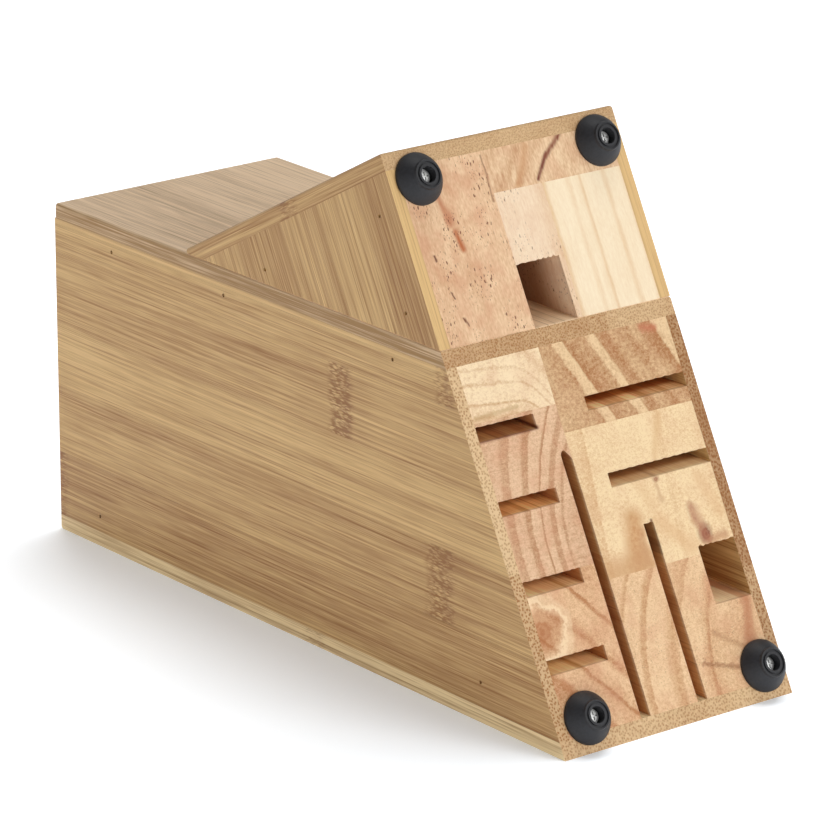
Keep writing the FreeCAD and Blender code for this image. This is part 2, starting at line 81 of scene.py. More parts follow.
class Term:
    """A socket that takes part in arithmetic: each operator adds one Math node."""

    def __init__(self, recipe: "Recipe", socket: bpy.types.NodeSocket | None) -> None:
        """Keeps the recipe and the socket."""
        self.recipe, self.socket = recipe, socket

    def _math(self, operation: str, *values: "Term | float") -> "Term":
        """Adds one Math node on these values."""
        inputs = dict(enumerate(values))
        return self.recipe.node("ShaderNodeMath", {"operation": operation}, inputs)

    def __add__(self, other: "Term | float") -> "Term":
        """Adds."""
        return self._math("ADD", self, other)

    __radd__ = __add__

    def __sub__(self, other: "Term | float") -> "Term":
        """Takes other away."""
        return self._math("SUBTRACT", self, other)

    def __rsub__(self, other: "Term | float") -> "Term":
        """Is taken away from other."""
        return self._math("SUBTRACT", other, self)

    def __mul__(self, other: "Term | float") -> "Term":
        """Multiplies."""
        return self._math("MULTIPLY", self, other)

    __rmul__ = __mul__

    def __truediv__(self, other: "Term | float") -> "Term":
        """Divides by other."""
        return self._math("DIVIDE", self, other)

    def __rtruediv__(self, other: "Term | float") -> "Term":
        """Divides other."""
        return self._math("DIVIDE", other, self)

    def __abs__(self) -> "Term":
        """Drops the sign."""
        return self._math("ABSOLUTE", self)

    def root(self) -> "Term":
        """Takes the square root."""
        return self._math("SQRT", self)

    def sine(self) -> "Term":
        """Takes the sine of an angle in radians."""
        return self._math("SINE", self)

    def at_least(self, other: "Term | float") -> "Term":
        """Takes the larger of the two."""
        return self._math("MAXIMUM", self, other)

    def at_most(self, other: "Term | float") -> "Term":
        """Takes the smaller of the two."""
        return self._math("MINIMUM", self, other)

    def swing(self, reach: float) -> "Term":
        """Turns a noise of 0 to 1 into one that swings round 0, this far from end to end."""
        return (self - NOISE_MEAN) * reach

    def step(self, start: float, end: float) -> "Term":
        """Rises smoothly from 0 at start to 1 at end, or falls where end is below start."""
        low, high, flip = (start, end, False) if start < end else (end, start, True)
        inputs = {0: self, 1: low, 2: high, 3: float(flip), 4: float(not flip)}
        settings = {"interpolation_type": "SMOOTHSTEP"}
        return self.recipe.node("ShaderNodeMapRange", settings, inputs)

    def between(self, low: float, high: float, soft: float) -> "Term":
        """Is 1 between low and high, with edges this soft, and 0 outside."""
        return self.step(low - soft, low + soft) * self.step(high + soft, high - soft)


class Recipe:
    """A material's node tree, with the block's own coordinates in millimetres.

    x runs along the block, y across it and z up. rise is the distance along the sloping base
    from its back edge, and depth the distance from the base into the wood.
    """

    def __init__(self, name: str) -> None:
        """Starts an empty material.

        Args:
            name: the material's name.
        """
        self.material = bpy.data.materials.new(name)
        self.material.use_nodes = True
        self.tree = self.material.node_tree
        self.tree.nodes.clear()
        here = self.node("ShaderNodeTexCoord", output="Object")
        parts = self.node("ShaderNodeSeparateXYZ", inputs={0: here}).socket.node
        self.x, self.y, self.z = (Term(self, socket) * MILLIMETRES for socket in parts.outputs)
        off = self.x - BASE_EDGE
        self.rise = self.z * math.cos(LEAN) - off * math.sin(LEAN)
        self.depth = -1.0 * (off * math.cos(LEAN) + self.z * math.sin(LEAN))

    def node(
        self, kind: str, settings: dict | None = None, inputs: dict | None = None,
        output: int | str = 0,
    ) -> Term:
        """Adds one node.

        Args:
            kind: the node's type.
            settings: its properties, and "stops" for a ramp, as position and colour or value.
            inputs: values or terms for its sockets, by name or number.
            output: the socket to go on with.

        Returns:
            The chosen output as a term.
        """
        made = self.tree.nodes.new(kind)
        for name, value in (settings or {}).items():
            if name == "stops":
                self._set_stops(made.color_ramp, value)
            else:
                setattr(made, name, value)
        for key, value in (inputs or {}).items():
            if isinstance(value, Term):
                self.tree.links.new(value.socket, made.inputs[key])
            else:
                made.inputs[key].default_value = value
        return Term(self, made.outputs[output] if made.outputs else None)

    @staticmethod
    def _set_stops(ramp: bpy.types.ColorRamp, stops: tuple) -> None:
        """Fills a ramp with stops, whose values may be greys or colours."""
        while len(ramp.elements) < len(stops):
            ramp.elements.new(1.0)
        for element, (position, value) in zip(ramp.elements, stops):
            element.position = position
            element.color = value if isinstance(value, tuple) else (value, value, value, 1.0)

    def vector(self, x: Term | float, y: Term | float, z: Term | float) -> Term:
        """Joins three values into a vector."""
        return self.node("ShaderNodeCombineXYZ", inputs={0: x, 1: y, 2: z})

    def noise(
        self, x: Term | float, y: Term | float, z: Term | float,
        detail: float = 2.0, rough: float = 0.5, twist: float = 0.0,
    ) -> Term:
        """Reads a cloud noise whose clouds are about one unit across.

        Args:
            x: the first coordinate.
            y: the second coordinate.
            z: the third coordinate.
            detail: how many finer layers it has.
            rough: how strong each finer layer is beside the one before.
            twist: how far it is distorted.

        Returns:
            A value of about 0 to 1.
        """
        inputs = {
            "Vector": self.vector(x, y, z), "Scale": 1.0, "Detail": detail,
            "Roughness": rough, "Distortion": twist,
        }
        return self.node("ShaderNodeTexNoise", inputs=inputs)

    def cells(self, x: Term | float, y: Term | float, z: Term | float | None = None) -> Term:
        """Reads the distance to the nearest of some scattered points, one unit apart."""
        settings = {"voronoi_dimensions": "2D" if z is None else "3D"}
        inputs = {"Vector": self.vector(x, y, 0.0 if z is None else z), "Scale": 1.0}
        return self.node("ShaderNodeTexVoronoi", settings, inputs)

    def profile(self, value: Term, stops: Stops, smooth: bool = False) -> Term:
        """Reads a drawn curve of place to value.

        Args:
            value: the place, in millimetres.
            stops: places and values of 0 to 1, in order.
            smooth: whether the curve eases between its stops.

        Returns:
            The curve's value at the place.
        """
        low, high = stops[0][0], stops[-1][0]
        at = (value - low) / (high - low)
        drawn = tuple(((place - low) / (high - low), level) for place, level in stops)
        ramp = self.node("ShaderNodeValToRGB", {"stops": drawn}, {0: at})
        ramp.socket.node.color_ramp.interpolation = "EASE" if smooth else "LINEAR"
        return ramp

    def blend(self, factor: Term | float, first: Term | Colour, second: Term | Colour) -> Term:
        """Mixes two colours."""
        settings = {"data_type": "RGBA", "clamp_factor": True}
        inputs = {MIX_FACTOR: factor, MIX_FIRST: first, MIX_SECOND: second}
        return self.node("ShaderNodeMix", settings, inputs, MIX_RESULT)

    def tinge(self, factor: Term, colour: Term, by: Term | Colour) -> Term:
        """Multiplies a colour by another as far as the factor says."""
        settings = {"data_type": "RGBA", "blend_type": "MULTIPLY"}
        inputs = {MIX_FACTOR: factor, MIX_FIRST: colour, MIX_SECOND: by}
        return self.node("ShaderNodeMix", settings, inputs, MIX_RESULT)

    def facing(self, direction: Direction) -> Term:
        """Says how squarely the surface faces along a direction, either way, from 0 to 1."""
        normal = self.node("ShaderNodeNewGeometry", output="True Normal")
        settings = {"operation": "DOT_PRODUCT"}
        dot = self.node("ShaderNodeVectorMath", settings, {0: normal, 1: direction}, "Value")
        return abs(dot)

    def finish(
        self, colour: Term | Colour, gloss: dict, rough: Term | float,
        bump: Term | None = None, height: float = 0.0,
    ) -> bpy.types.Material:
        """Closes the recipe with a Principled shader.

        Args:
            colour: the base colour.
            gloss: uniform values for other sockets of the shader.
            rough: the roughness.
            bump: the bump height of 0 to 1, where there is one.
            height: how far the bump goes, in metres.

        Returns:
            The material.
        """
        inputs = {"Base Color": colour, "Roughness": rough, **gloss}
        if bump is not None:
            inputs["Normal"] = self.node(
                "ShaderNodeBump", inputs={"Strength": 1.0, "Distance": height, "Height": bump}
            )
        shader = self.node("ShaderNodeBsdfPrincipled", inputs=inputs)
        self.node("ShaderNodeOutputMaterial", inputs={"Surface": shader})
        return self.material


class Grain(Enum):
    """Which way a board's fibres run."""

    ALONG_BLOCK = "x"
    ALONG_BASE = "rise"
    INTO_BASE = "depth"

    def axes(self, recipe: Recipe) -> tuple[Term, Term, Term]:
        """Gives the places along the fibres and in the two directions across them."""
        if self is Grain.ALONG_BLOCK:
            return recipe.x, recipe.y, recipe.z
        if self is Grain.ALONG_BASE:
            return recipe.rise, recipe.y, recipe.depth
        return recipe.depth, recipe.y, recipe.rise

    def direction(self) -> Direction:
        """Gives the fibres' direction."""
        if self is Grain.ALONG_BLOCK:
            return X_AXIS
        return BASE_RISE if self is Grain.ALONG_BASE else BASE_NORMAL


@dataclass(frozen=True)
class Knuckle:
    """A bamboo joint: short broken fibres across one strip, brown on the side towards the root.

    along is its place on the fibres, low and high are the strip's edges, and spread is how far
    it reaches along the fibres either way, all in millimetres.
    """

    along: float
    low: float
    high: float
    strength: float = 1.0
    spread: float = 6.0


@dataclass(frozen=True)
class Streaks:
    """A bamboo board's own coordinates, and the noises that its streaks are made of."""

    along: Term
    side: Term
    flat: Term
    lay: Term
    tone: Term
    broad: Term
    cloud: Term
    medium: Term
    fine: Term
    dash: Term
    contour: Term


@dataclass(frozen=True)
class Bamboo:
    """Laminated bamboo: strips with streaked faces and dotted ends.

    strips and ends give the lightness of each strip's face and end from edge to edge of the
    board, and plies the places of the glue lines on its two long edges. edge is how much
    lighter than the face the long edges are, or the edge on the base in a board that runs
    along it.
    """

    grain: Grain
    strips: Stops
    ends: Stops | None = None
    strips_on_y: bool = False
    face_dark: Colour = tint(152, 102, 48)
    face_light: Colour = tint(222, 183, 122)
    end_dark: Colour = tint(163, 108, 50)
    end_light: Colour = tint(224, 190, 143)
    dots: float = 0.6
    dot_size: float = 1.0
    edge: float = -0.2
    knuckle_colour: Colour = tint(148, 98, 55)
    plies: tuple[float, ...] = ()
    knuckles: tuple[Knuckle, ...] = ()
    seed: float = 0.0

    def material(self, name: str) -> bpy.types.Material:
        """Makes the material.

        Args:
            name: the material's name.

        Returns:
            The material.
        """
        r = Recipe(name)
        s = self._streaks(r)
        marks: Term | float = 0.0
        stain: Term | float = 0.0
        for knuckle in self.knuckles:
            mark, brown = self._knuckle(r, knuckle, s)
            marks, stain = marks + mark, stain + brown
        face = r.blend(self._face_level(r, s, marks), self.face_dark, self.face_light)
        if self.knuckles:
            face = r.blend(stain, face, self.knuckle_colour)
        dot_flat = s.flat / self.dot_size + (s.cloud - NOISE_MEAN)
        speck = r.cells(s.side * 0.95 / self.dot_size, dot_flat * 0.95)
        end = r.blend(self._end_level(r, s, speck), self.end_dark, self.end_light)
        cut = r.facing(self.grain.direction()).step(0.55, 0.75)
        bump = s.fine * 0.5 + s.medium * 0.4 + s.dash * 0.3 - marks * 0.7
        bump = bump - cut * speck.step(0.4, 0.2) * 0.6
        rough = 0.5 - s.fine.swing(0.3)
        return r.finish(r.blend(cut, face, end), {"IOR": 1.47}, rough, bump, height=0.00012)

    def _streaks(self, r: Recipe) -> Streaks:
        """Reads the noises, each much longer along the fibres than across them.

        Args:
            r: the material's recipe.

        Returns:
            The board's coordinates and noises.
        """
        along, side, flat = self.grain.axes(r)
        lay = side if self.strips_on_y else flat
        tone = r.profile(lay, self.strips)
        # strips of another tone get streaks of their own
        shift = tone * 37.0 + self.seed
        return Streaks(
            along, side, flat, lay, tone,
            broad=r.noise(along * 0.005, side * 0.12 + shift, flat * 0.12, 2.0, 0.5),
            cloud=r.noise(along * 0.03 + self.seed, side * 0.12, flat * 0.12, 2.0, 0.5),
            medium=r.noise(along * 0.008, side * 1.1 + shift, flat * 1.1, 2.0, 0.75),
            fine=r.noise(along * 0.02, side * 1.9, flat * 1.9 + shift, 1.0, 0.6),
            dash=r.noise(along * 0.08, side * 1.8 + shift, flat * 1.8, 1.0, 0.5),
            contour=r.noise(along * 0.004, side * 0.55, flat * 0.55 + shift, 2.0, 0.6),
        )

    def _face_level(self, r: Recipe, s: Streaks, marks: Term | float) -> Term:
        """Adds up how light the long faces are.

        Args:
            r: the material's recipe.
            s: the board's streaks.
            marks: how much the knuckles darken it.

        Returns:
            The lightness, from 0 for the dark colour to 1 for the light one.
        """
        vessel = abs(s.contour - 0.5).step(0.03, 0.0) * s.cloud.step(0.3, 0.6)
        pale_line = abs(s.contour - 0.6).step(0.02, 0.0)
        level = s.tone + s.broad.swing(BROAD_SWING) + s.cloud.swing(CLOUD_SWING)
        level = level + s.medium.swing(MEDIUM_SWING) + s.fine.swing(FINE_SWING)
        level = level + s.dash.swing(DASH_SWING) - vessel * VESSEL_SHADE + pale_line * PALE_SHADE
        level = level - marks
        if self.strips_on_y:
            glue: Term | float = 0.0
            for ply in self.plies:
                glue = glue + abs(s.flat + s.broad.swing(0.6) - ply).step(GLUE_WIDTH, 0.0)
            level = level + r.facing(Y_AXIS).step(0.6, 0.9) * (self.edge - glue * GLUE_SHADE)
        elif self.grain is Grain.ALONG_BASE:
            level = level + r.facing(BASE_NORMAL).step(0.6, 0.9) * self.edge
        return level

    def _end_level(self, r: Recipe, s: Streaks, speck: Term) -> Term:
        """Adds up how light the cut ends are.

        Args:
            r: the material's recipe.
            s: the board's streaks.
            speck: the distance to the nearest bundle of fibres, which shows as a dark dot.

        Returns:
            The lightness, from 0 for the dark colour to 1 for the light one.
        """
        grit = r.noise(s.side * 1.3, s.flat * 1.3, s.along * 0.02 + self.seed, 2.0, 0.6)
        level = r.profile(s.lay, self.ends or self.strips) + s.cloud.swing(0.4) + grit.swing(0.8)
        return level - speck.step(0.46, 0.14) * self.dots + self.dots * DOT_MEAN

    @staticmethod
    def _knuckle(r: Recipe, knuckle: Knuckle, s: Streaks) -> tuple[Term, Term]:
        """Draws one knuckle.

        Args:
            r: the material's recipe.
            knuckle: the knuckle.
            s: the board's streaks.

        Returns:
            How much its dashes darken the face, and how strong its brown stain is.
        """
        spread = knuckle.spread
        place = s.along - knuckle.along + s.cloud.swing(8.0) + s.medium.swing(5.0)
        row = s.lay.between(knuckle.low, knuckle.high, STRIP_SOFTNESS)
        flat = s.flat * 1.3 + s.cloud.swing(2.0)
        scale = r.cells(s.along * 0.4 + s.medium * 2.0, s.side * 1.3, flat)
        grit = r.noise(s.along * 0.35, s.side * 1.4, s.flat * 1.4, 2.0, 0.7, 0.8)
        body = place.between(-spread, spread * 0.7, spread * 0.35)
        brow = place.between(spread * 0.1, spread * 0.7, spread * 0.5)
        trail = place.between(spread * 0.3, spread * 2.4, spread * 0.9)
        dashes = body * (scale.step(0.2, 0.75) + grit * 1.6 - 1.15)
        stain = brow * grit.step(0.3, 0.7) * 0.55 + body * 0.15
        stain = stain + trail * s.medium.step(0.58, 0.4) * 0.2
        return row * dashes * knuckle.strength * 0.8, row * stain * knuckle.strength


@dataclass(frozen=True)
class Knot:
    """A knot in a stave: a dark core and a pale halo that pushes the growth bands aside."""

    at: Point
    size: Point
    colour: Colour = tint(150, 88, 45)
    halo: Colour = tint(248, 218, 176)
    strength: float = 1.0
    halo_strength: float = 0.0
    push: float = 4.0


@dataclass(frozen=True)
class Streak:
    """A soft coloured line or patch between two points."""

    start: Point
    end: Point
    width: float
    colour: Colour
    strength: float = 0.8
    ragged: float = 1.0


def straight(u: Term, v: Term) -> Term:
    """Lays growth bands upright, side by side across the stave."""
    return u


@dataclass(frozen=True)
class Weave:
    """A stave's own coordinates, and the noises that its look is made of.

    u runs across the block, v up its base and into away from the base.
    """

    u: Term
    v: Term
    into: Term
    wide: Term
    wave: Term
    fibre: Term
    grit: Term


@dataclass(frozen=True)
class Rubberwood:
    """A stave of pale hardwood with growth bands, pores, knots and streaks of its own.

    Places are distances across the block and along its base, in millimetres. waver is how far
    the bands wander, and grain, grit, rays and mottle are how strong the fibres, the fine
    speckle, the level lines and the broad patches are. The wall, bed and deep tints are painted
    shade and light: they multiply the colour on the sides of the channels, on their floors and
    ceilings, and deep inside, darkening it as painted shade where they are below 1 and lightening
    it as painted light where they are above 1. The two depths given with the deep tint are where
    it starts and is full.
    """

    light: Colour
    dark: Colour
    bands: Stops
    run: Callable[[Term, Term], Term] = straight
    on_base: bool = False
    waver: float = 1.0
    grain: float = 0.9
    grit: float = 0.9
    rays: float = 0.0
    pores: float = 0.0
    pore_colour: Colour = tint(112, 62, 36)
    mottle: float = 0.5
    blush: float = 0.0
    blush_colour: Colour = tint(206, 142, 106)
    # painted shade and light in the channels: tints for their sides, for their floors and
    # ceilings and for their deep parts, and the depths where the deep tint starts and is full
    walls: Colour = tint(228, 196, 160)
    painted_bed_shading: Colour = tint(252, 244, 226)
    painted_deep_shading: Colour = tint(186, 160, 140)
    painted_deep_shading_depths: Point = (3.0, 18.0)
    knots: tuple[Knot, ...] = ()
    streaks: tuple[Streak, ...] = ()
    seed: float = 0.0

    def material(self, name: str) -> bpy.types.Material:
        """Makes the material.

        Args:
            name: the material's name.

        Returns:
            The material.
        """
        r = Recipe(name)
        w = self._weave(r)
        lie_u = w.u + w.wave.swing(2.4) * self.waver + w.fibre.swing(0.8)
        lie_v = w.v + w.wide.swing(5.0) * self.waver
        gaps = [self._gap(knot, lie_u, lie_v, w) for knot in self.knots]
        place = self.run(lie_u, lie_v)
        for knot, gap in zip(self.knots, gaps):
            place = place + gap.step(*KNOT_REACH) * knot.push
        colour = r.blend(self._level(r, w, place), self.dark, self.light)
        colour = self._paint_channel_shading(r, self._mark(r, w, gaps, colour))
        bump = w.fibre * 0.5 + w.grit * 0.5
        rough = 0.62 + w.fibre.swing(0.2)
        return r.finish(colour, {"IOR": 1.42}, rough, bump, height=0.00014)

    def _weave(self, r: Recipe) -> Weave:
        """Reads the stave's coordinates and noises.

        Args:
            r: the material's recipe.

        Returns:
            The coordinates and noises.
        """
        u = r.y
        v = r.rise if self.on_base else r.z / math.cos(LEAN)
        into = r.depth if self.on_base else r.x
        # fibres run up the base in the wedge, and into it in the main block
        across, up, deep = (1.0, 0.12, 1.0) if self.on_base else (1.0, 1.0, 0.02)
        return Weave(
            u, v, into,
            wide=r.noise(u * 0.07, v * 0.07 + self.seed, into * 0.01, 2.0),
            wave=r.noise(u * 0.22 + self.seed, v * 0.12, into * 0.01, 3.0),
            fibre=r.noise(u * across * 0.8, v * up * 0.8 + self.seed, into * deep, 3.0, 0.65),
            grit=r.noise(
                u * 1.7, v * 1.7 * (up + 0.2), into * deep * 2.0 + self.seed, 1.0, 0.5
            ),
        )

    @staticmethod
    def _gap(knot: Knot, u: Term, v: Term, w: Weave) -> Term:
        """Measures how far a place is from a knot, with 1 at the knot's own size."""
        across = (u - knot.at[0]) / knot.size[0]
        along = (v - knot.at[1]) / knot.size[1]
        gap = (across * across + along * along).root()
        return gap + w.wave.swing(1.2) + w.fibre.swing(0.25)

    def _level(self, r: Recipe, w: Weave, place: Term) -> Term:
        """Adds up how light the wood is.

        Args:
            r: the material's recipe.
            w: the stave's noises.
            place: the place across the growth bands.

        Returns:
            The lightness, from 0 for the dark colour to 1 for the light one.
        """
        level = r.profile(place, self.bands, True)
        level = level + w.fibre.swing(self.grain) + w.grit.swing(self.grit)
        level = level + w.wide.swing(self.mottle)
        if self.rays:
            ray = r.noise(w.u * 0.07 + self.seed, w.v * 1.2, w.into * 0.01, 2.0, 0.6)
            level = level + ray.swing(self.rays)
        return level

    def _mark(self, r: Recipe, w: Weave, gaps: list[Term], colour: Term) -> Term:
        """Lays the blush, the knots, the streaks and the pores over the wood's colour.

        Args:
            r: the material's recipe.
            w: the stave's noises.
            gaps: the distance from each knot.
            colour: the colour so far.

        Returns:
            The marked colour.
        """
        if self.blush:
            flush = r.noise(w.u * 0.13 + self.seed, w.v * 0.1, w.into * 0.02, 4.0, 0.6)
            colour = r.blend(flush.step(0.4, 0.7) * self.blush, colour, self.blush_colour)
        for knot, gap in zip(self.knots, gaps):
            rings = ((gap + w.fibre * 0.25) * KNOT_RINGS).sine() * 0.5 + 0.5
            halo = gap.between(1.1, 1.7, 0.3) * (0.5 + rings * 0.5) * knot.halo_strength
            core = gap.step(1.4, 0.2) * (0.55 + rings * 0.25 + w.fibre * 0.4) * knot.strength
            colour = r.blend(core, r.blend(halo, colour, knot.halo), knot.colour)
        for streak in self.streaks:
            colour = r.blend(self._streak(streak, w), colour, streak.colour)
        if self.pores:
            colour = r.blend(self._pits(r, w), colour, self.pore_colour)
        return colour

    def _pits(self, r: Recipe, w: Weave) -> Term:
        """Says where the open pores lie.

        Args:
            r: the material's recipe.
            w: the stave's noises.

        Returns:
            The strength of the pores' colour.
        """
        across, up, deep = (0.75, 0.3, 0.75) if self.on_base else (0.8, 0.8, 0.02)
        inner = w.into * deep + self.seed
        pit = r.cells(w.u * across + w.wave, w.v * up, inner)
        small = r.cells(w.u * 1.5 + w.wave * 2.0, w.v * up * 2.4, inner + 9.0)
        some = r.noise(w.u * 0.1, w.v * 0.07, w.into * 0.05 + self.seed, 2.0).step(0.42, 0.58)
        mask = pit.step(0.24, 0.12) * some + small.step(0.26, 0.12) * some * 0.8
        return mask * self.pores

    def _paint_channel_shading(self, r: Recipe, colour: Term) -> Term:
        """Paints shade and light on the sides, floors and ceilings of the channels, and deeper
        in.

        Args:
            r: the material's recipe.
            colour: the colour so far.

        Returns:
            The tinted colour. The top end of the block, which faces along x, is left out.
        """
        inside = r.facing(X_AXIS).step(0.98, 0.94)
        # painted shade and light near the mouths of the channels: the sides take one tint, the
        # floors and ceilings another
        shade = r.blend(r.facing(Y_AXIS).step(0.5, 0.9), self.painted_bed_shading, self.walls)
        near = r.depth.step(0.15, 1.6) * inside
        # painted shade deeper in the channels, and painted light where that tint is above 1
        far = r.depth.step(*self.painted_deep_shading_depths) * inside
        return r.tinge(far, r.tinge(near, colour, shade), self.painted_deep_shading)

    @staticmethod
    def _streak(streak: Streak, w: Weave) -> Term:
        """Says how much of a streak's colour shows at a place.

        Args:
            streak: the streak.
            w: the stave's coordinates and noises.

        Returns:
            The strength of the colour.
        """
        (u1, v1), (u2, v2) = streak.start, streak.end
        run_u, run_v = u2 - u1, v2 - v1
        length = run_u * run_u + run_v * run_v
        near_u = w.u - u1 + w.wave.swing(4.0) * streak.ragged
        near_v = w.v - v1 + w.fibre.swing(3.0) * streak.ragged
        share = ((near_u * run_u + near_v * run_v) / length).at_least(0.0).at_most(1.0)
        off_u = near_u - share * run_u
        off_v = near_v - share * run_v
        gap = (off_u * off_u + off_v * off_v).root()
        return gap.step(streak.width, 0.0) * streak.strength * (0.3 + w.fibre * 1.3)


@dataclass(frozen=True)
class Plain:
    """Rubber or metal, with a slight unevenness."""

    colour: Colour
    uneven: Colour
    rough: float
    gloss: dict = field(default_factory=dict)
    scale: float = 1.2
    bump: float = 0.00004

    def material(self, name: str) -> bpy.types.Material:
        """Makes the material.

        Args:
            name: the material's name.

        Returns:
            The material.
        """
        r = Recipe(name)
        cloud = r.noise(r.x * self.scale, r.y * self.scale, r.z * self.scale, 3.0, 0.6)
        colour = r.blend(cloud.step(0.3, 0.75), self.colour, self.uneven)
        return r.finish(colour, self.gloss, self.rough + cloud.swing(0.2), cloud, self.bump)


Finish = Bamboo | Rubberwood | Plain


def dress(node: str, finish: Finish) -> None:
    """Gives a CAD node its finish in every slot.

    Args:
        node: the node's name.
        finish: the finish.
    """
    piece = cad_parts[node]
    material = finish.material(f"{node}_finish")
    if not piece.material_slots:
        piece.data.materials.append(material)
    for slot in piece.material_slots:
        slot.material = material
    LOG.info("%s: %s", node, type(finish).__name__)


def leaning(slope: float, v0: float = 0.0) -> Callable[[Term, Term], Term]:
    """Lays growth bands as straight lines that lean by slope.

    Args:
        slope: how far the bands move across for each millimetre up the base.
        v0: the height on the base at which the bands' places are given.

    Returns:
        The function that reads the distance across the bands.
    """

    def run(u: Term, v: Term) -> Term:
        """Reads the distance across the bands."""
        return u + (v - v0) * slope

    return run


def fanned(u: Term, v: Term) -> Term:
    """Lays growth bands upright at one height, fanning over to the right away from it."""
    upright, bend, spread = 65.0, 0.01387, 0.00022
    square = (v - upright) * (v - upright)
    return (u - square * bend) / (square * spread + 1.0)


def crossing(u: Term, v: Term) -> Term:
    """Lays growth bands from upper left to lower right."""
    across, up = 0.77, 0.64
    return u * across + v * up


def draped(u: Term, v: Term) -> Term:
    """Lays growth bands nearly level on the left and dropping away on the right."""
    far_left, bend_left, fall, curl = 44.0, 25.0, 0.1, 0.06
    right = (u + bend_left).at_least(0.0)
    return v + (u + far_left) * fall + right * right * curl


def bowed(u: Term, v: Term) -> Term:
    """Lays growth bands upright below and bending to the right above."""
    upright, bend = 8.0, 0.0075
    return u - (v - upright) * (v - upright) * bend


